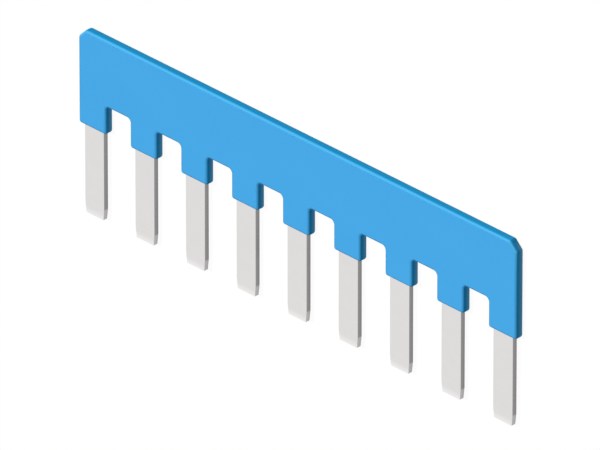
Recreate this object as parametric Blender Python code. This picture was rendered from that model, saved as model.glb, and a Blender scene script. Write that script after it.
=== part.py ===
"""Parallel jumper bridge that joins nine neighbouring ways of a terminal block.

One flat stamped comb carries nine contact prongs, and one flat moulded housing insulates its spine and the
roots of its prongs. The bridge lies on the back face of its housing. X runs along the row, +Y runs from the
prong tips to the closed top of the housing, and +Z comes out of its front face. The origin is the middle of the
rectangle that the bridge covers, on the plane that it lies on.
"""

import math

import bmesh
import bpy
from mathutils import Matrix, Vector

MM = 0.001

# Row of ways
WAYS = 9
PITCH = 5.08 * MM

# Metal comb
STRIP_THICKNESS = 0.42 * MM
STRIP_EDGE_RADIUS = 0.03 * MM
PRONG_WIDTH = 1.90 * MM
PRONG_LENGTH = 7.20 * MM
PRONG_ROOT_RADIUS = 0.40 * MM
SPINE_CORNER_RADIUS = 0.50 * MM

# Prong tips: narrowed from both sides, and coined a little thinner from both faces
TIP_TAPER_LENGTH = 0.92 * MM
TIP_SIDE_TAPER = 0.09 * MM
TIP_COIN_LENGTH = 0.64 * MM
TIP_COIN_DEPTH = 0.02 * MM
TIP_CORNER_RADIUS = 0.05 * MM

# Moulded housing
HOUSING_HEIGHT = 7.76 * MM
SHOULDER_LENGTH = 2.30 * MM
SHOULDER_WALL = 0.36 * MM
END_OVERHANG = 0.08 * MM
FACE_WALL = 0.16 * MM
TOP_WALL = 1.00 * MM
NOTCH_WALL = 0.90 * MM
TOP_CHAMFER = 0.70 * MM
TOP_CORNER_RADIUS = 0.30 * MM
NOTCH_CORNER_RADIUS = 0.32 * MM
SHOULDER_CORNER_RADIUS = 0.23 * MM
HOUSING_EDGE_RADIUS = 0.22 * MM

# Plastic ties that join the two faces of the housing through round holes in the spine
TIE_DIAMETER = 1.20 * MM

# Gap between the plastic and the metal
CLEARANCE = 0.02 * MM

# Facets
ARC_STEP = math.radians(15)
HOUSING_EDGE_FACETS = 3
TIE_SIDES = 20
SMOOTH_ANGLE = math.radians(35)

# Sizes that follow from those above
HOUSING_THICKNESS = STRIP_THICKNESS + 2 * (FACE_WALL + CLEARANCE)
SHOULDER_WIDTH = PRONG_WIDTH + 2 * (SHOULDER_WALL + CLEARANCE)
ROW_HALF_LENGTH = (WAYS - 1) / 2 * PITCH
HOUSING_HALF_LENGTH = ROW_HALF_LENGTH + SHOULDER_WIDTH / 2 + END_OVERHANG
SPINE_BOTTOM = SHOULDER_LENGTH + NOTCH_WALL + CLEARANCE
SPINE_TOP = HOUSING_HEIGHT - TOP_WALL - CLEARANCE
OVERALL_LENGTH = HOUSING_HEIGHT + PRONG_LENGTH

# Both pieces are drawn with y = 0 at the ends of the shoulders and z = 0 half way through the metal
DRAWING_ORIGIN = Vector((0, PRONG_LENGTH - OVERALL_LENGTH / 2, HOUSING_THICKNESS / 2))

# Finishes: base colour, roughness and metallic value
BLUE_POLYAMIDE = ((0.067, 0.402, 0.799), 0.42, 0.0)
TINNED_COPPER = ((0.71, 0.69, 0.67), 0.32, 1.0)


def remove_startup_objects():
    """Empty the scene."""
    for obj in list(bpy.data.objects):
        bpy.data.objects.remove(obj, do_unlink=True)


def make_material(name, finish):
    """Return a material with the finish's colour, roughness and metallic value."""
    colour, roughness, metallic = finish
    material = bpy.data.materials.new(name)
    material.use_nodes = True
    shader = material.node_tree.nodes["Principled BSDF"]
    shader.inputs["Base Color"].default_value = (*colour, 1.0)
    shader.inputs["Roughness"].default_value = roughness
    shader.inputs["Metallic"].default_value = metallic
    return material


def make_object(name, mesh_builder):
    """Return a new object with the mesh, in the place that both pieces are drawn in."""
    bmesh.ops.recalc_face_normals(mesh_builder, faces=mesh_builder.faces)
    mesh = bpy.data.meshes.new(name)
    mesh_builder.to_mesh(mesh)
    mesh_builder.free()
    obj = bpy.data.objects.new(name, mesh)
    obj.location = DRAWING_ORIGIN
    bpy.context.scene.collection.objects.link(obj)
    return obj


def hide_cutter(obj):
    """Show an object that only cuts others as a wire."""
    obj.hide_render = True
    obj.display_type = "WIRE"


def subtract(obj, cutter):
    """Cut the shape of one object out of another."""
    boolean = obj.modifiers.new(cutter.name, "BOOLEAN")
    boolean.operation = "DIFFERENCE"
    boolean.object = cutter
    hide_cutter(cutter)


def way_positions():
    """Return the X of the middle of each way, from left to right."""
    return [way * PITCH - ROW_HALF_LENGTH for way in range(WAYS)]


def tie_positions():
    """Return the middle of each tie, half way between two ways and half way up the spine."""
    height = (SPINE_BOTTOM + SPINE_TOP) / 2
    return [Vector((x + PITCH / 2, height, 0)) for x in way_positions()[:-1]]


def rounded_outline(corners):
    """Return a closed outline whose corners (x, y, radius) are arcs, each tangent to its two sides."""
    outline = []
    for index, (x, y, radius) in enumerate(corners):
        corner = Vector((x, y))
        if radius == 0:
            outline.append(corner)
            continue
        before = (Vector(corners[index - 1][:2]) - corner).normalized()
        after = (Vector(corners[(index + 1) % len(corners)][:2]) - corner).normalized()
        half_angle = before.angle(after) / 2
        centre = corner + (before + after).normalized() * (radius / math.sin(half_angle))
        first_spoke = corner + before * (radius / math.tan(half_angle)) - centre
        turn = math.copysign(math.pi - 2 * half_angle, -before.cross(after))
        steps = max(2, round(abs(turn) / ARC_STEP))
        outline += [
            centre + Matrix.Rotation(turn * step / steps, 2) @ first_spoke for step in range(steps + 1)
        ]
    return outline


def plate(outline, thickness, edge_radius=0.0, edge_facets=1):
    """Return the mesh of a flat plate with this outline, half of it on each side of z = 0."""
    mesh_builder = bmesh.new()
    back = mesh_builder.faces.new([mesh_builder.verts.new((x, y, -thickness / 2)) for x, y in outline])
    raised = bmesh.ops.extrude_face_region(mesh_builder, geom=[back], use_keep_orig=True)["geom"]
    front_vertices = [item for item in raised if isinstance(item, bmesh.types.BMVert)]
    bmesh.ops.translate(mesh_builder, verts=front_vertices, vec=(0, 0, thickness))
    if edge_radius > 0:
        rims = [edge for edge in mesh_builder.edges if edge.verts[0].co.z == edge.verts[1].co.z]
        bmesh.ops.bevel(
            mesh_builder, geom=rims, offset=edge_radius, segments=edge_facets, profile=0.5, affect="EDGES"
        )
    return mesh_builder


def pegs(diameter, length):
    """Return the mesh of one round peg at each tie."""
    mesh_builder = bmesh.new()
    for position in tie_positions():
        bmesh.ops.create_cone(
            mesh_builder, cap_ends=True, segments=TIE_SIDES, radius1=diameter / 2, radius2=diameter / 2,
            depth=length, matrix=Matrix.Translation(position)
        )
    return mesh_builder


def housing_corners():
    """Return the outline of the housing: the shoulders from left to right, then back over the top."""
    corners = []
    for way, x in enumerate(way_positions()):
        left, right = x - SHOULDER_WIDTH / 2, x + SHOULDER_WIDTH / 2
        if way == 0:
            left = -HOUSING_HALF_LENGTH
        else:
            corners.append((left, SHOULDER_LENGTH, NOTCH_CORNER_RADIUS))
        if way == WAYS - 1:
            right = HOUSING_HALF_LENGTH
        corners += [(left, 0, SHOULDER_CORNER_RADIUS), (right, 0, SHOULDER_CORNER_RADIUS)]
        if way < WAYS - 1:
            corners.append((right, SHOULDER_LENGTH, NOTCH_CORNER_RADIUS))
    end = HOUSING_HALF_LENGTH
    chamfer_bottom = HOUSING_HEIGHT - TOP_CHAMFER
    corners.append((end, chamfer_bottom, TOP_CORNER_RADIUS))
    corners.append((end - TOP_CHAMFER, HOUSING_HEIGHT, TOP_CORNER_RADIUS))
    corners.append((TOP_CHAMFER - end, HOUSING_HEIGHT, TOP_CORNER_RADIUS))
    corners.append((-end, chamfer_bottom, TOP_CORNER_RADIUS))
    return corners


def comb_corners(foot, growth=0.0):
    """Return the outline of the comb, grown on all sides, with the foot's corners under each way."""
    bottom, top = SPINE_BOTTOM - growth, SPINE_TOP + growth
    half_width = PRONG_WIDTH / 2 + growth
    corners = []
    for way, x in enumerate(way_positions()):
        if way > 0:
            corners.append((x - half_width, bottom, PRONG_ROOT_RADIUS - growth))
        corners += [(x + offset, y, radius) for offset, y, radius in foot]
        if way < WAYS - 1:
            corners.append((x + half_width, bottom, PRONG_ROOT_RADIUS - growth))
    for side in (1, -1):
        corners.append((side * (ROW_HALF_LENGTH + half_width), top, SPINE_CORNER_RADIUS + growth))
    return corners


def tapered_foot():
    """Return the corners of a prong's tip, from its left side to its right."""
    side, end = PRONG_WIDTH / 2, PRONG_WIDTH / 2 - TIP_SIDE_TAPER
    taper_start = TIP_TAPER_LENGTH - PRONG_LENGTH
    return [
        (-side, taper_start, 0),
        (-end, -PRONG_LENGTH, TIP_CORNER_RADIUS),
        (end, -PRONG_LENGTH, TIP_CORNER_RADIUS),
        (side, taper_start, 0),
    ]


def pocket_foot():
    """Return the corners of the pocket's mouth, a little way past the end of a shoulder."""
    side = PRONG_WIDTH / 2 + CLEARANCE
    return [(-side, -HOUSING_THICKNESS, 0), (side, -HOUSING_THICKNESS, 0)]


def coin_tips(mesh_builder):
    """Press both faces of each prong's tip together, more and more towards its end."""
    start = TIP_COIN_LENGTH - PRONG_LENGTH
    everything = [*mesh_builder.verts, *mesh_builder.edges, *mesh_builder.faces]
    bmesh.ops.bisect_plane(mesh_builder, geom=everything, plane_co=(0, start, 0), plane_no=(0, 1, 0))
    for vertex in mesh_builder.verts:
        depth = TIP_COIN_DEPTH * max(0.0, start - vertex.co.y) / TIP_COIN_LENGTH
        vertex.co.z *= 1 - depth / (STRIP_THICKNESS / 2)


def make_contact_comb():
    """Make the stamped comb, with a round hole in its spine for each tie."""
    outline = rounded_outline(comb_corners(tapered_foot()))
    blank = plate(outline, STRIP_THICKNESS, STRIP_EDGE_RADIUS)
    coin_tips(blank)
    comb = make_object("contact_comb", blank)
    comb.data.materials.append(make_material("tinned_copper", TINNED_COPPER))
    punches = make_object("tie_hole_punches", pegs(TIE_DIAMETER + 2 * CLEARANCE, HOUSING_THICKNESS))
    subtract(comb, punches)
    return comb


def make_insulating_housing():
    """Make the housing, with a pocket for the comb that is open at the ends of the shoulders."""
    outline = rounded_outline(housing_corners())
    body = plate(outline, HOUSING_THICKNESS, HOUSING_EDGE_RADIUS, HOUSING_EDGE_FACETS)
    housing = make_object("insulating_housing", body)
    housing.data.materials.append(make_material("blue_polyamide", BLUE_POLYAMIDE))
    pocket_outline = rounded_outline(comb_corners(pocket_foot(), CLEARANCE))
    pocket = make_object("comb_pocket", plate(pocket_outline, STRIP_THICKNESS + 2 * CLEARANCE))
    ties = make_object("tie_cores", pegs(TIE_DIAMETER, HOUSING_THICKNESS))
    subtract(pocket, ties)
    subtract(housing, pocket)
    return housing


def shade(obj):
    """Shade the rounded stretches smooth and keep the corners sharp."""
    obj.data.shade_smooth()
    obj.data.set_sharp_from_angle(angle=SMOOTH_ANGLE)


def main():
    """Build the bridge."""
    remove_startup_objects()
    shade(make_insulating_housing())
    shade(make_contact_comb())


main()
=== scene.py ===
"""Looks of a parallel jumper bridge that joins nine neighbouring ways of a terminal block.

A flat blue moulding insulates a flat stamped comb of plated metal. The bridge lies on its back on
a pale studio floor. The camera looks at it from its front, its right and its closed top, and is
rolled, so that the prongs hang straight down in the picture. All sizes are in metres, in the frame
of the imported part: X along the row, +Y from the prong tips to the closed top of the housing, +Z out
of the front face.
"""

import logging
import math
from dataclasses import dataclass, field
from enum import Enum
from typing import Union

import bmesh
import bpy
from mathutils import Matrix, Vector


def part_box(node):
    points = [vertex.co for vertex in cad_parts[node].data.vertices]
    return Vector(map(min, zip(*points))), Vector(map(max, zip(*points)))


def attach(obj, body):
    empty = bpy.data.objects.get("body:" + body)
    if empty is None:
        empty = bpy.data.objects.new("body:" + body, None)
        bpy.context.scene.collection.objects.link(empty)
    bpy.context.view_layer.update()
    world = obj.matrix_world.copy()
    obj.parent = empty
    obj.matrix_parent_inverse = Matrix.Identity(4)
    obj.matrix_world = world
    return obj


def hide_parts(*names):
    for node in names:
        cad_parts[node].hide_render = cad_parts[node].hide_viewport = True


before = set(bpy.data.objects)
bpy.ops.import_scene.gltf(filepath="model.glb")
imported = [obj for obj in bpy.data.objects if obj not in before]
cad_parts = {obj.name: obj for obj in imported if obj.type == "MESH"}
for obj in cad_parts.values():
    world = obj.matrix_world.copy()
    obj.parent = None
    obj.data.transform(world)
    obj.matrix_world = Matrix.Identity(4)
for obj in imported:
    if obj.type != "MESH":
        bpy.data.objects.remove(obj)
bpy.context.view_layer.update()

LOG = logging.getLogger("jumper_bridge")
MM = 0.001
BODY = "root"

Triple = tuple[float, float, float]
Colour = Triple
Paint = Union[Colour, bpy.types.NodeSocket]
Number = Union["Signal", float]
WHITE = (1.0, 1.0, 1.0, 1.0)


class Detail(Enum):
    """How much finer unevenness lies on top of the first layer of a noise."""

    FLOWING = 1.0
    FINE = 2.0
    CLOUDY = 3.0


class Signal:
    """A number on its way through a shader: its socket, with the operators used on it."""

    def __init__(self, tree: "ShaderTree", socket: bpy.types.NodeSocket) -> None:
        """Wrap an output socket.

        Args:
            tree: the shader that holds the socket's node.
            socket: the socket that the number comes out of.
        """
        self.tree = tree
        self.socket = socket

    def __add__(self, other: Number) -> "Signal":
        """Return self + other."""
        return self.tree.maths("ADD", self, other)

    def __sub__(self, other: Number) -> "Signal":
        """Return self - other."""
        return self.tree.maths("SUBTRACT", self, other)

    def __mul__(self, other: Number) -> "Signal":
        """Return self * other."""
        return self.tree.maths("MULTIPLY", self, other)

    def __abs__(self) -> "Signal":
        """Return the absolute value."""
        return self.tree.maths("ABSOLUTE", self)

    def __radd__(self, other: float) -> "Signal":
        """Return other + self."""
        return self.tree.maths("ADD", other, self)

    def __rsub__(self, other: float) -> "Signal":
        """Return other - self."""
        return self.tree.maths("SUBTRACT", other, self)

    def __rmul__(self, other: float) -> "Signal":
        """Return other * self."""
        return self.tree.maths("MULTIPLY", other, self)

    def ramp(self, start: float, end: float) -> "Signal":
        """Return a smooth step of this number.

        Args:
            start: the number at which the step leaves 0.
            end: the number at which the step reaches 1.

        Returns:
            The step, from 0 to 1.
        """
        step = self.tree.node(
            "ShaderNodeMapRange",
            {"interpolation_type": "SMOOTHSTEP"},
            {"Value": self, "From Min": start, "From Max": end},
        )
        return Signal(self.tree, step.outputs["Result"])


class ShaderTree:
    """The nodes of one material or world."""

    def __init__(self, owner: Union[bpy.types.Material, bpy.types.World]) -> None:
        """Start with no nodes.

        Args:
            owner: the material or world.
        """
        owner.use_nodes = True
        self.tree = owner.node_tree
        self.tree.nodes.clear()

    def node(
        self, kind: str, settings: dict[str, object], inputs: dict[Union[str, int], object]
    ) -> bpy.types.Node:
        """Add a node.

        Args:
            kind: the node's type.
            settings: the node's own properties, which are set first.
            inputs: a value, socket or signal for each named or numbered input socket.

        Returns:
            The node.
        """
        made = self.tree.nodes.new(kind)
        for name, value in settings.items():
            setattr(made, name, value)
        for name, value in inputs.items():
            source = value.socket if isinstance(value, Signal) else value
            if isinstance(source, bpy.types.NodeSocket):
                self.tree.links.new(source, made.inputs[name])
            else:
                made.inputs[name].default_value = source
        return made

    def maths(self, operation: str, *values: Number) -> Signal:
        """Add a Math node.

        Args:
            operation: what the node does.
            values: its inputs in order.

        Returns:
            The node's result.
        """
        made = self.node("ShaderNodeMath", {"operation": operation}, dict(enumerate(values)))
        return Signal(self, made.outputs[0])

    def position(self) -> bpy.types.NodeSocket:
        """Return the place on the piece, in the row frame."""
        return self.node("ShaderNodeTexCoord", {}, {}).outputs["Object"]

    def coordinate(self, axis: str) -> Signal:
        """Return one coordinate of the place on the piece.

        Args:
            axis: X, Y or Z.

        Returns:
            The coordinate in metres.
        """
        split = self.node("ShaderNodeSeparateXYZ", {}, {"Vector": self.position()})
        return Signal(self, split.outputs[axis])

    def facing(self, axis: str) -> Signal:
        """Return how squarely the surface faces along one axis.

        Args:
            axis: X, Y or Z.

        Returns:
            The part of the normal along the axis, from -1 to 1.
        """
        normal = self.node("ShaderNodeTexCoord", {}, {}).outputs["Normal"]
        split = self.node("ShaderNodeSeparateXYZ", {}, {"Vector": normal})
        return Signal(self, split.outputs[axis])

    def noise(self, spacing: Triple, detail: Detail) -> Signal:
        """Add smooth random unevenness.

        Args:
            spacing: the size of a feature along X, Y and Z, in metres.
            detail: how much finer unevenness lies on top.

        Returns:
            The unevenness, with 0 as its middle and almost all of it from -0.5 to 0.5.
        """
        stretched = self.node(
            "ShaderNodeVectorMath",
            {"operation": "DIVIDE"},
            {0: self.position(), 1: spacing},
        )
        texture = self.node(
            "ShaderNodeTexNoise",
            {},
            {"Vector": stretched.outputs[0], "Scale": 1.0, "Detail": detail.value},
        )
        return Signal(self, texture.outputs["Fac"]) - 0.5

    def blended(self, start: Colour, end: Colour, share: Signal) -> bpy.types.NodeSocket:
        """Return a colour between two others.

        Args:
            start: the colour at a share of 0.
            end: the colour at a share of 1.
            share: how far the colour is on the way.

        Returns:
            The colour's socket.
        """
        return self.tinted(start, tuple(last - first for first, last in zip(start, end)), share)

    def tinted(self, colour: Paint, added: Colour, share: Signal) -> bpy.types.NodeSocket:
        """Return a colour with some of another added to it.

        Args:
            colour: the plain colour, or the socket that it comes from.
            added: the other colour.
            share: how much of the other colour is added.

        Returns:
            The colour's socket.
        """
        mixed = self.node(
            "ShaderNodeVectorMath",
            {"operation": "ADD"},
            {0: colour, 1: self.brightened(added, share)},
        )
        return mixed.outputs[0]

    def brightened(self, colour: Paint, factor: Number) -> bpy.types.NodeSocket:
        """Return a colour times a number.

        Args:
            colour: the plain colour, or the socket that it comes from.
            factor: how much brighter it gets.

        Returns:
            The colour's socket.
        """
        scaled = self.node(
            "ShaderNodeVectorMath", {"operation": "SCALE"}, {0: colour, "Scale": factor}
        )
        return scaled.outputs[0]

    def bump(self, height: Signal, depth: float) -> bpy.types.NodeSocket:
        """Return the normal of an uneven surface.

        Args:
            height: the height of the surface, in units of the depth.
            depth: the depth of the unevenness in metres.

        Returns:
            The normal's socket.
        """
        bumped = self.node(
            "ShaderNodeBump", {}, {"Height": height, "Distance": depth, "Strength": 1.0}
        )
        return bumped.outputs[0]


@dataclass(frozen=True)
class Finish:
    """A surface finish, which each kind of finish describes as the inputs of one principled shader."""

    name: str
    colour: Colour
    roughness: float

    def inputs(self, tree: ShaderTree) -> dict[str, object]:
        """Return the inputs of the principled shader.

        Args:
            tree: the shader that the finish adds its nodes to.

        Returns:
            A value, socket or signal for each named input.
        """
        raise NotImplementedError

    def material(self) -> bpy.types.Material:
        """Return the finish as a material."""
        made = bpy.data.materials.new(self.name)
        tree = ShaderTree(made)
        shader = tree.node("ShaderNodeBsdfPrincipled", {}, self.inputs(tree))
        tree.node("ShaderNodeOutputMaterial", {}, {"Surface": shader.outputs["BSDF"]})
        return made


@dataclass(frozen=True)
class MouldedPolyamide(Finish):
    """Satin polyamide: a plain blue on the walls and the same blue with a painted sheen on the front
    and back faces, a fine grain, roundings rubbed smoother with a painted highlight most along the
    top, painted floor light on the walls towards the back, and painted shade on the roundings to the
    left and below.

    The face shares and the crest share are depths under the face, as shares of the edge radius.
    """

    wall_colour: Colour
    half_thickness: float
    edge_radius: float
    top: float
    specular_level: float = 0.02
    face_start_share: float = 0.75
    face_end_share: float = 1 / 6
    crest_share: float = 0.25
    flow_spacing: float = 7.0 * MM
    flow_stretch: float = 2.0
    mottle_spacing: float = 0.35 * MM
    grain_spacing: float = 0.045 * MM
    grain_depth: float = 0.0016 * MM
    flow_tone: float = 0.04
    mottle_tone: float = 0.03
    # tint of the painted highlight on the rubbed roundings
    highlight_tint: Colour = (0.036, 0.100, 0.095)
    # tint of the painted light from the floor on the walls towards the back
    floor_light_tint: Colour = (0.21, 0.16, 0.03)
    grain_gloss: float = 0.12
    rub_gloss: float = 0.10
    rub_and_highlight_reach: float = 2.5 * MM
    floor_light_reach: float = 0.45 * MM
    # painted shade on the roundings to the left and below
    rim_shade: float = 0.25
    rim_turn: float = 0.3
    rim_slant: float = 0.3
    side_rub_and_highlight: float = 0.2

    def face(self, height: Signal) -> Signal:
        """Return 1 on the front and back faces and 0 on the walls.

        Args:
            height: the distance from the middle of the thickness.

        Returns:
            The share of the faces' colour, with its painted sheen, which fades into the walls' blue on
            the rounding.
        """
        start = self.half_thickness - self.edge_radius * self.face_start_share
        return height.ramp(start, self.half_thickness - self.edge_radius * self.face_end_share)

    def rub_and_highlight(self, height: Signal, y: Signal) -> Signal:
        """Return how much the roundings are rubbed smoother and painted with a highlight, most of all
        round the top.

        Args:
            height: the distance from the middle of the thickness.
            y: the coordinate from the prong tips to the top.

        Returns:
            The rub and painted highlight, from 0 to 1.
        """
        crest = self.half_thickness - self.edge_radius * self.crest_share
        rub_and_highlight_share = self.side_rub_and_highlight + y.ramp(self.top - self.rub_and_highlight_reach, self.top) * (1 - self.side_rub_and_highlight)
        rising = height.ramp(self.half_thickness - self.edge_radius, crest)
        return rising * (1 - height.ramp(crest, self.half_thickness)) * rub_and_highlight_share

    def floor_light(self, y: Signal, z: Signal) -> Signal:
        """Return how much painted light from the pale floor a wall gets, more and more towards the
        back and not at the top.

        Args:
            y: the coordinate from the prong tips to the top.
            z: the coordinate from the back to the front.

        Returns:
            The painted floor light, from 0 to 1.
        """
        side = y.ramp(self.top - self.edge_radius / 2, self.top - self.floor_light_reach)
        return z.ramp(self.half_thickness + self.edge_radius, 0.0) * side

    def shaded_rim(self, tree: ShaderTree) -> Signal:
        """Return 1 on the roundings to the left and below, which get painted shade.

        Args:
            tree: the shader that the finish adds its nodes to.

        Returns:
            The painted shade's share, from 0 to 1.
        """
        turned = (tree.facing("X") + tree.facing("Y")).ramp(0.0, -self.rim_turn)
        return turned * abs(tree.facing("Z")).ramp(self.rim_slant, 2 * self.rim_slant)

    def inputs(self, tree: ShaderTree) -> dict[str, object]:
        """Return the shader's inputs.

        Args:
            tree: the shader that the finish adds its nodes to.

        Returns:
            A value, socket or signal for each named input.
        """
        across = self.flow_spacing / self.flow_stretch
        flow = tree.noise((self.flow_spacing, across, self.flow_spacing), Detail.FLOWING)
        mottle = tree.noise((self.mottle_spacing,) * 3, Detail.CLOUDY)
        grain = tree.noise((self.grain_spacing,) * 3, Detail.FINE)
        y, z = tree.coordinate("Y"), tree.coordinate("Z")
        height = abs(z - self.half_thickness)
        face, rub_and_highlight = self.face(height), self.rub_and_highlight(height, y)
        # the front and back faces take the colour with a painted sheen, the walls the plain blue
        blue_with_face_sheen = tree.blended(self.wall_colour, self.colour, face)
        # painted highlight on the rubbed roundings, most along the top
        highlighted = tree.tinted(blue_with_face_sheen, self.highlight_tint, rub_and_highlight)
        # painted light from the floor, growing towards the back of the walls
        with_floor_light = tree.tinted(highlighted, self.floor_light_tint, self.floor_light(y, z) * (1 - face))
        # painted shade darkens the roundings to the left and below
        tone = 1 + flow * self.flow_tone + mottle * self.mottle_tone - self.shaded_rim(tree) * self.rim_shade
        return {
            "Base Color": tree.brightened(with_floor_light, tone),
            "Roughness": self.roughness + mottle * self.grain_gloss - rub_and_highlight * self.rub_gloss,
            "Specular IOR Level": self.specular_level,
            "Normal": tree.bump(grain + mottle, self.grain_depth),
        }


@dataclass(frozen=True)
class TinnedStrip(Finish):
    """Rolled faces of tin-plated strip: clouded, streaked along the row, with a painted sheen that
    brightens them towards the coined tips.
    """

    coin_start: float
    tip: float
    cloud_spacing: float = 0.9 * MM
    streak_spacing: float = 0.05 * MM
    streak_length: float = 2.5 * MM
    streak_depth: float = 0.0003 * MM
    cloud_tone: float = 0.03
    streak_tone: float = 0.02
    # strength of the painted sheen towards the coined tips
    coin_sheen_tone: float = 0.16
    streak_gloss: float = 0.08
    coin_gloss: float = 0.08

    def inputs(self, tree: ShaderTree) -> dict[str, object]:
        """Return the shader's inputs.

        Args:
            tree: the shader that the finish adds its nodes to.

        Returns:
            A value, socket or signal for each named input.
        """
        clouds = tree.noise((self.cloud_spacing,) * 3, Detail.CLOUDY)
        along, across = self.streak_length, self.streak_spacing
        streaks = tree.noise((along, across, along), Detail.FINE)
        unevenness = clouds + streaks
        coined_and_sheened = tree.coordinate("Y").ramp(self.coin_start, self.tip)
        # the coin term paints a brighter sheen on the rolled faces towards the tips
        tone = 1 + clouds * self.cloud_tone + streaks * self.streak_tone + coined_and_sheened * self.coin_sheen_tone
        return {
            "Base Color": tree.brightened(self.colour, tone),
            "Roughness": self.roughness + unevenness * self.streak_gloss - coined_and_sheened * self.coin_gloss,
            "Metallic": 1.0,
            "Normal": tree.bump(streaks, self.streak_depth),
        }


@dataclass(frozen=True)
class ShearedEdge(Finish):
    """Sheared edges of the strip: lined by the die, torn rougher at the back, with painted light
    making the tapered tips paler; their dark grey is partly the duller sheared metal and partly
    painted shade.
    """

    front: float
    back: float
    taper_start: float
    taper_blend: float = 0.15 * MM
    line_spacing: float = 0.035 * MM
    line_length: float = 0.6 * MM
    line_depth: float = 0.0020 * MM
    line_tone: float = 0.20
    tear_tone: float = 0.12
    tear_gloss: float = 0.10
    # strength of the painted light on the tapered tip facets
    taper_light_tone: float = 0.60

    def inputs(self, tree: ShaderTree) -> dict[str, object]:
        """Return the shader's inputs.

        Args:
            tree: the shader that the finish adds its nodes to.

        Returns:
            A value, socket or signal for each named input.
        """
        lines = tree.noise((self.line_spacing, self.line_spacing, self.line_length), Detail.FINE)
        torn = tree.coordinate("Z").ramp(self.front, self.back)
        lit_taper = tree.coordinate("Y").ramp(self.taper_start, self.taper_start - self.taper_blend)
        # painted light makes the tapered tip facets paler
        tone = 1 + lines * self.line_tone - torn * self.tear_tone + lit_taper * self.taper_light_tone
        return {
            "Base Color": tree.brightened(self.colour, tone),
            "Roughness": self.roughness + torn * self.tear_gloss,
            "Metallic": 1.0,
            "Normal": tree.bump(lines, self.line_depth),
        }


@dataclass(frozen=True)
class Corner:
    """A corner of an outline, rounded to its radius."""

    x: float
    y: float
    radius: float = 0.0


@dataclass(frozen=True)
class Outline:
    """A closed outline with rounded corners."""

    corners: tuple[Corner, ...]
    step: float = math.radians(6)

    def points(self) -> list[Vector]:
        """Return the points along the outline, with an arc at each rounded corner."""
        found: list[Vector] = []
        for index, corner in enumerate(self.corners):
            here = Vector((corner.x, corner.y))
            if corner.radius == 0:
                found.append(here)
                continue
            before, after = self.corners[index - 1], self.corners[(index + 1) % len(self.corners)]
            incoming = (Vector((before.x, before.y)) - here).normalized()
            outgoing = (Vector((after.x, after.y)) - here).normalized()
            half_angle = incoming.angle(outgoing) / 2
            centre = here + (incoming + outgoing).normalized() * (corner.radius / math.sin(half_angle))
            spoke = here + incoming * (corner.radius / math.tan(half_angle)) - centre
            turn = math.copysign(math.pi - 2 * half_angle, -incoming.cross(outgoing))
            steps = max(2, round(abs(turn) / self.step))
            for step in range(steps + 1):
                found.append(centre + Matrix.Rotation(turn * step / steps, 2) @ spoke)
        return found


@dataclass(frozen=True)
class Plate:
    """A flat plate between two heights, with rounded rims."""

    outline: Outline
    low: float
    high: float
    rim_radius: float = 0.0
    rim_facets: int = 1
    rim_roundness: float = 0.5
    shortest_edge: float = 0.002 * MM

    def mesh_builder(self) -> bmesh.types.BMesh:
        """Return the plate's mesh, still open to edits."""
        made = bmesh.new()
        back = made.faces.new([made.verts.new((x, y, self.low)) for x, y in self.outline.points()])
        raised = bmesh.ops.extrude_face_region(made, geom=[back], use_keep_orig=True)["geom"]
        front = [item for item in raised if isinstance(item, bmesh.types.BMVert)]
        bmesh.ops.translate(made, verts=front, vec=(0, 0, self.high - self.low))
        if self.rim_radius > 0:
            rims = [edge for edge in made.edges if edge.verts[0].co.z == edge.verts[1].co.z]
            bmesh.ops.bevel(
                made, geom=rims, affect="EDGES",
                offset=self.rim_radius, segments=self.rim_facets, profile=self.rim_roundness,
            )
            bmesh.ops.remove_doubles(made, verts=made.verts, dist=self.shortest_edge)
        bmesh.ops.recalc_face_normals(made, faces=made.faces)
        return made


class CombFace(Enum):
    """The finishes on the comb, by the place of their material on it."""

    ROLLED = 0
    SHEARED = 1


@dataclass(frozen=True)
class Row:
    """The row of ways that the bridge joins."""

    ways: int = 9
    pitch: float = 5.08 * MM

    def centres(self) -> list[float]:
        """Return the X of the middle of each way, from left to right."""
        return [(way - (self.ways - 1) / 2) * self.pitch for way in range(self.ways)]


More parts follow.
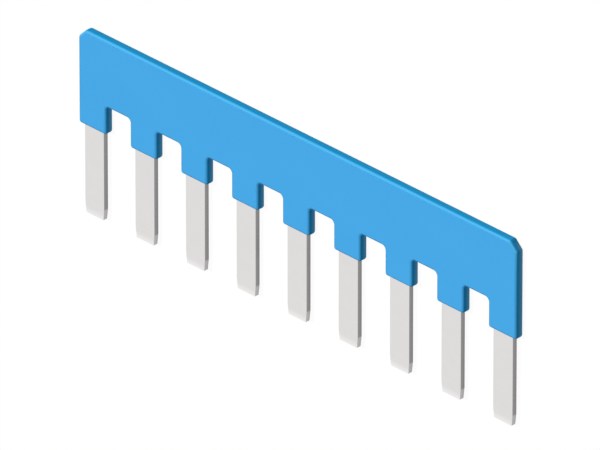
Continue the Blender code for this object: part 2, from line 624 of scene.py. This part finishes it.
class Piece:
    """A piece of the bridge: what every piece does with its finished mesh."""

    smooth_angle: float = math.radians(35)
    flat_weight: int = 100

    def place(self, name: str, builder: bmesh.types.BMesh) -> bpy.types.Object:
        """Turn a mesh into an object in the scene.

        Args:
            name: the object's name.
            builder: its mesh, which is used up.

        Returns:
            The object.
        """
        mesh = bpy.data.meshes.new(name)
        builder.to_mesh(mesh)
        builder.free()
        made = bpy.data.objects.new(name, mesh)
        bpy.context.scene.collection.objects.link(made)
        return made

    def cut(self, piece: bpy.types.Object, cutter: bpy.types.Object) -> None:
        """Cut one object's shape out of another and remove the cutter.

        Args:
            piece: the object that is cut.
            cutter: the object whose shape is taken away.
        """
        difference = piece.modifiers.new(cutter.name, "BOOLEAN")
        difference.operation = "DIFFERENCE"
        difference.solver = "EXACT"
        difference.object = cutter
        depsgraph = bpy.context.evaluated_depsgraph_get()
        piece.data = bpy.data.meshes.new_from_object(piece.evaluated_get(depsgraph))
        piece.modifiers.clear()
        bpy.data.objects.remove(cutter, do_unlink=True)
        self.settle(piece)

    def settle(self, piece: bpy.types.Object) -> None:
        """Order the vertices and faces by where they are, because a cut leaves them in no fixed order.

        Args:
            piece: the object that was cut.
        """
        builder = bmesh.new()
        builder.from_mesh(piece.data)
        for index, vertex in enumerate(sorted(builder.verts, key=lambda item: tuple(item.co))):
            vertex.index = index
        builder.verts.sort()
        ordered = sorted(builder.faces, key=lambda item: sorted(corner.index for corner in item.verts))
        for index, face in enumerate(ordered):
            face.index = index
        builder.faces.sort()
        builder.to_mesh(piece.data)
        builder.free()

    def smooth(self, piece: bpy.types.Object) -> None:
        """Shade the roundings smooth while the flat faces stay flat.

        Args:
            piece: the object that is shaded.
        """
        piece.data.shade_smooth()
        piece.data.set_sharp_from_angle(angle=self.smooth_angle)
        flat = piece.modifiers.new("flat_faces", "WEIGHTED_NORMAL")
        flat.keep_sharp = True
        flat.weight = self.flat_weight


@dataclass(frozen=True)
class SpineTies:
    """The plastic ties through the spine of the comb, one half way between each two ways."""

    row: Row
    height: float
    diameter: float = 1.20 * MM
    sides: int = 48

    def pegs(self, growth: float, low: float, high: float) -> bmesh.types.BMesh:
        """Return the mesh of a round peg at each tie.

        Args:
            growth: how much wider than a tie a peg is, all round.
            low: the height that the pegs start at.
            high: the height that they end at.

        Returns:
            The mesh, still open to edits.
        """
        made = bmesh.new()
        radius = self.diameter / 2 + growth
        for x in self.row.centres()[:-1]:
            middle = Matrix.Translation((x + self.row.pitch / 2, self.height, (low + high) / 2))
            bmesh.ops.create_cone(
                made, cap_ends=True, segments=self.sides,
                radius1=radius, radius2=radius, depth=high - low, matrix=middle,
            )
        return made


@dataclass
class ContactComb(Piece):
    """The stamped comb: a spine hidden in the housing and nine flat prongs with coined tips."""

    row: Row = field(default_factory=Row)
    prong_width: float = 1.90 * MM
    root_radius: float = 0.40 * MM
    spine_height: float = 3.52 * MM
    spine_radius: float = 0.50 * MM
    taper_length: float = 0.92 * MM
    side_taper: float = 0.09 * MM
    coin_length: float = 0.64 * MM
    coin_depth: float = 0.02 * MM
    tip_radius: float = 0.05 * MM
    rim_radius: float = 0.03 * MM
    rim_facets: int = 3
    rolled_slant: float = math.radians(60)
    clearance: float = 0.02 * MM

    def __post_init__(self) -> None:
        """Take the comb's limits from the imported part."""
        self.low, self.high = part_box("contact_comb")
        self.spine_bottom = self.high.y - self.spine_height
        self.ties = SpineTies(self.row, (self.spine_bottom + self.high.y) / 2)

    def outline(self, foot: list[Corner], growth: float = 0.0) -> Outline:
        """Return the outline of the comb.

        Args:
            foot: the corners under each way, from its middle.
            growth: how much larger than the comb the outline is, all round.

        Returns:
            The outline, the prongs from left to right and then the top of the spine.
        """
        bottom, top = self.spine_bottom - growth, self.high.y + growth
        half_width = self.prong_width / 2 + growth
        root = self.root_radius - growth
        corners: list[Corner] = []
        for x in self.row.centres():
            corners.append(Corner(x - half_width, bottom, root))
            corners += [Corner(x + corner.x, corner.y, corner.radius) for corner in foot]
            corners.append(Corner(x + half_width, bottom, root))
        corners = corners[1:-1]
        right = self.high.x + growth
        corners.append(Corner(right, top, self.spine_radius + growth))
        corners.append(Corner(-right, top, self.spine_radius + growth))
        return Outline(tuple(corners))

    def tapered_foot(self) -> list[Corner]:
        """Return the corners of a prong's tip, from its left side to its right."""
        side, end = self.prong_width / 2, self.prong_width / 2 - self.side_taper
        start = self.low.y + self.taper_length
        return [
            Corner(-side, start),
            Corner(-end, self.low.y, self.tip_radius),
            Corner(end, self.low.y, self.tip_radius),
            Corner(side, start),
        ]

    def coin(self, builder: bmesh.types.BMesh) -> None:
        """Press both faces of each tip together, more and more towards its end.

        Args:
            builder: the mesh of the comb.
        """
        start = self.low.y + self.coin_length
        middle, half = (self.low.z + self.high.z) / 2, (self.high.z - self.low.z) / 2
        everything = [*builder.verts, *builder.edges, *builder.faces]
        bmesh.ops.bisect_plane(builder, geom=everything, plane_co=(0, start, 0), plane_no=(0, 1, 0))
        for vertex in builder.verts:
            depth = self.coin_depth * max(0.0, start - vertex.co.y) / self.coin_length
            vertex.co.z = middle + (vertex.co.z - middle) * (1 - depth / half)

    def pocket(self, mouth: float) -> bpy.types.Object:
        """Make the space that the comb takes in the housing.

        Args:
            mouth: the Y at which the space ends, just outside the shoulders.

        Returns:
            The space as an object, with the ties left out of it.
        """
        side = self.prong_width / 2 + self.clearance
        foot = [Corner(-side, mouth), Corner(side, mouth)]
        low, high = self.low.z - self.clearance, self.high.z + self.clearance
        hollow = Plate(self.outline(foot, self.clearance), low, high)
        space = self.place("comb_pocket", hollow.mesh_builder())
        cores = self.ties.pegs(0.0, low - self.clearance, high + self.clearance)
        self.cut(space, self.place("tie_cores", cores))
        return space

    def finishes(self) -> dict[CombFace, Finish]:
        """Return the finish of each kind of face."""
        return {
            CombFace.ROLLED: TinnedStrip(
                name="tinned_rolled_face",
                colour=(0.719, 0.708, 0.703),
                roughness=0.20,
                coin_start=self.low.y + self.coin_length,
                tip=self.low.y,
            ),
            CombFace.SHEARED: ShearedEdge(
                name="sheared_edge",
                # this dark grey is partly the duller sheared metal and partly painted shade on the
                # sides
                colour=(0.294, 0.288, 0.286),
                roughness=0.42,
                front=self.high.z,
                back=self.low.z,
                taper_start=self.low.y + self.taper_length,
            ),
        }

    def build(self) -> bpy.types.Object:
        """Return the finished comb."""
        foot = self.outline(self.tapered_foot())
        strip = Plate(foot, self.low.z, self.high.z, self.rim_radius, self.rim_facets)
        builder = strip.mesh_builder()
        self.coin(builder)
        comb = self.place("stamped_comb", builder)
        punches = self.ties.pegs(self.clearance, 0.0, self.low.z + self.high.z)
        self.cut(comb, self.place("tie_punches", punches))
        for face in comb.data.polygons:
            rolled = abs(face.normal.z) > math.cos(self.rolled_slant)
            face.material_index = (CombFace.ROLLED if rolled else CombFace.SHEARED).value
        for finish in self.finishes().values():
            comb.data.materials.append(finish.material())
        self.smooth(comb)
        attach(comb, BODY)
        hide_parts("contact_comb")
        return comb


@dataclass
class InsulatingHousing(Piece):
    """The moulded housing: a closed bar with nine shoulders round the roots of the prongs."""

    comb: ContactComb
    shoulder_width: float = 2.66 * MM
    shoulder_length: float = 2.30 * MM
    top_chamfer: float = 0.70 * MM
    top_radius: float = 0.30 * MM
    notch_radius: float = 0.32 * MM
    shoulder_radius: float = 0.23 * MM
    edge_radius: float = 0.22 * MM
    edge_facets: int = 6

    def __post_init__(self) -> None:
        """Take the housing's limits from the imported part."""
        self.low, self.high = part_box("insulating_housing")

    def outline(self) -> Outline:
        """Return the outline, the shoulders from left to right and then back over the top."""
        notch_top = self.low.y + self.shoulder_length
        corners: list[Corner] = []
        for x in self.comb.row.centres():
            left, right = x - self.shoulder_width / 2, x + self.shoulder_width / 2
            corners += [
                Corner(left, notch_top, self.notch_radius),
                Corner(left, self.low.y, self.shoulder_radius),
                Corner(right, self.low.y, self.shoulder_radius),
                Corner(right, notch_top, self.notch_radius),
            ]
        left, right, top, chamfer = self.low.x, self.high.x, self.high.y, self.top_chamfer
        corners = [
            Corner(left, self.low.y, self.shoulder_radius),
            *corners[2:-2],
            Corner(right, self.low.y, self.shoulder_radius),
            Corner(right, top - chamfer, self.top_radius),
            Corner(right - chamfer, top, self.top_radius),
            Corner(left + chamfer, top, self.top_radius),
            Corner(left, top - chamfer, self.top_radius),
        ]
        return Outline(tuple(corners))

    def finish(self) -> Finish:
        """Return the finish of the moulding."""
        return MouldedPolyamide(
            name="moulded_blue_polyamide",
            # the faces' colour is the walls' blue with a painted sheen
            colour=(0.064, 0.393, 0.788),
            roughness=0.40,
            wall_colour=(0.016, 0.390, 0.795),
            half_thickness=self.high.z / 2,
            edge_radius=self.edge_radius,
            top=self.high.y,
        )

    def build(self) -> bpy.types.Object:
        """Return the finished housing."""
        plate = Plate(self.outline(), self.low.z, self.high.z, self.edge_radius, self.edge_facets)
        housing = self.place("moulded_housing", plate.mesh_builder())
        mouth = self.low.y - self.high.z
        self.cut(housing, self.comb.pocket(mouth))
        housing.data.materials.clear()
        housing.data.materials.append(self.finish().material())
        self.smooth(housing)
        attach(housing, BODY)
        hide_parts("insulating_housing")
        return housing


@dataclass(frozen=True)
class Studio:
    """The floor, the backdrop, the lamp and the camera."""

    floor_half_width: float = 0.30
    floor_tone: float = 0.05
    floor_bounce: float = 0.33
    ambient: float = 0.15
    key_irradiance: float = 0.97
    key_direction: Triple = (-0.28, 0.37, 0.85)
    key_softness: float = math.radians(20)
    aim: Triple = (-0.0835 * MM, -0.0966 * MM, 0.2146 * MM)
    right: Triple = (0.70711, 0.0, -0.70711)
    up: Triple = (-0.35355, 0.86603, -0.35355)
    back: Triple = (0.61237, 0.5, 0.61237)
    distance: float = 1.4996
    lens: float = 1280.0
    clip: float = 0.1

    def seen(self, tree: ShaderTree) -> Signal:
        """Tell what is seen from what only lights the bridge.

        Args:
            tree: the shader that asks.

        Returns:
            1 for a look from the camera, direct or by way of a glossy or clear surface, else 0.
        """
        path = tree.node("ShaderNodeLightPath", {}, {})
        names = ("Is Camera Ray", "Is Glossy Ray", "Is Transmission Ray")
        camera, glossy, clear = (Signal(tree, path.outputs[name]) for name in names)
        return camera + glossy + clear

    def make_floor(self) -> None:
        """Make the pale floor, which keeps the soft shadow of the bridge."""
        builder = bmesh.new()
        bmesh.ops.create_grid(builder, x_segments=1, y_segments=1, size=self.floor_half_width)
        mesh = bpy.data.meshes.new("floor")
        builder.to_mesh(mesh)
        builder.free()
        floor = bpy.data.objects.new("floor", mesh)
        bpy.context.scene.collection.objects.link(floor)
        material = bpy.data.materials.new("pale_floor")
        tree = ShaderTree(material)
        matt = tree.node("ShaderNodeBsdfDiffuse", {}, {"Color": (self.floor_tone,) * 3 + (1.0,)})
        strength = self.floor_bounce + self.seen(tree) * (1 - self.floor_tone - self.floor_bounce)
        glow = tree.node("ShaderNodeEmission", {}, {"Strength": strength})
        both = tree.node("ShaderNodeAddShader", {}, {0: matt.outputs[0], 1: glow.outputs[0]})
        tree.node("ShaderNodeOutputMaterial", {}, {"Surface": both.outputs[0]})
        mesh.materials.append(material)

    def make_backdrop(self) -> None:
        """Make the white surroundings, which light the bridge only a little."""
        world = bpy.data.worlds.new("studio")
        tree = ShaderTree(world)
        strength = self.ambient + self.seen(tree) * (1 - self.ambient)
        sky = tree.node("ShaderNodeBackground", {}, {"Color": WHITE, "Strength": strength})
        tree.node("ShaderNodeOutputWorld", {}, {"Surface": sky.outputs[0]})
        bpy.context.scene.world = world

    def make_key_lamp(self) -> None:
        """Make the soft lamp."""
        lamp = bpy.data.lights.new("key_lamp", "SUN")
        lamp.energy = self.key_irradiance * math.pi
        lamp.angle = self.key_softness
        holder = bpy.data.objects.new("key_lamp", lamp)
        holder.rotation_euler = Vector(self.key_direction).to_track_quat("Z", "Y").to_euler()
        bpy.context.scene.collection.objects.link(holder)

    def make_camera(self) -> None:
        """Make the camera, far off behind a long lens."""
        camera = bpy.data.cameras.new("camera")
        camera.lens = self.lens
        camera.clip_start = self.clip
        camera.clip_end = 2 * self.distance
        holder = bpy.data.objects.new("camera", camera)
        turn = Matrix((self.right, self.up, self.back)).transposed().to_4x4()
        place = Vector(self.aim) + Vector(self.back) * self.distance
        holder.matrix_world = Matrix.Translation(place) @ turn
        bpy.context.scene.collection.objects.link(holder)
        bpy.context.scene.camera = holder

    def build(self) -> None:
        """Make the whole studio."""
        bpy.context.scene.view_settings.view_transform = "Standard"
        self.make_floor()
        self.make_backdrop()
        self.make_key_lamp()
        self.make_camera()


def main() -> None:
    """Build the studio and the two pieces of the bridge, and report each."""
    logging.basicConfig(level=logging.INFO, format="%(name)s: %(message)s")
    Studio().build()
    LOG.info("studio built")
    comb = ContactComb()
    for piece in (comb.build(), InsulatingHousing(comb).build()):
        LOG.info("%s: %d faces", piece.name, len(piece.data.polygons))


if __name__ == "__main__":
    main()
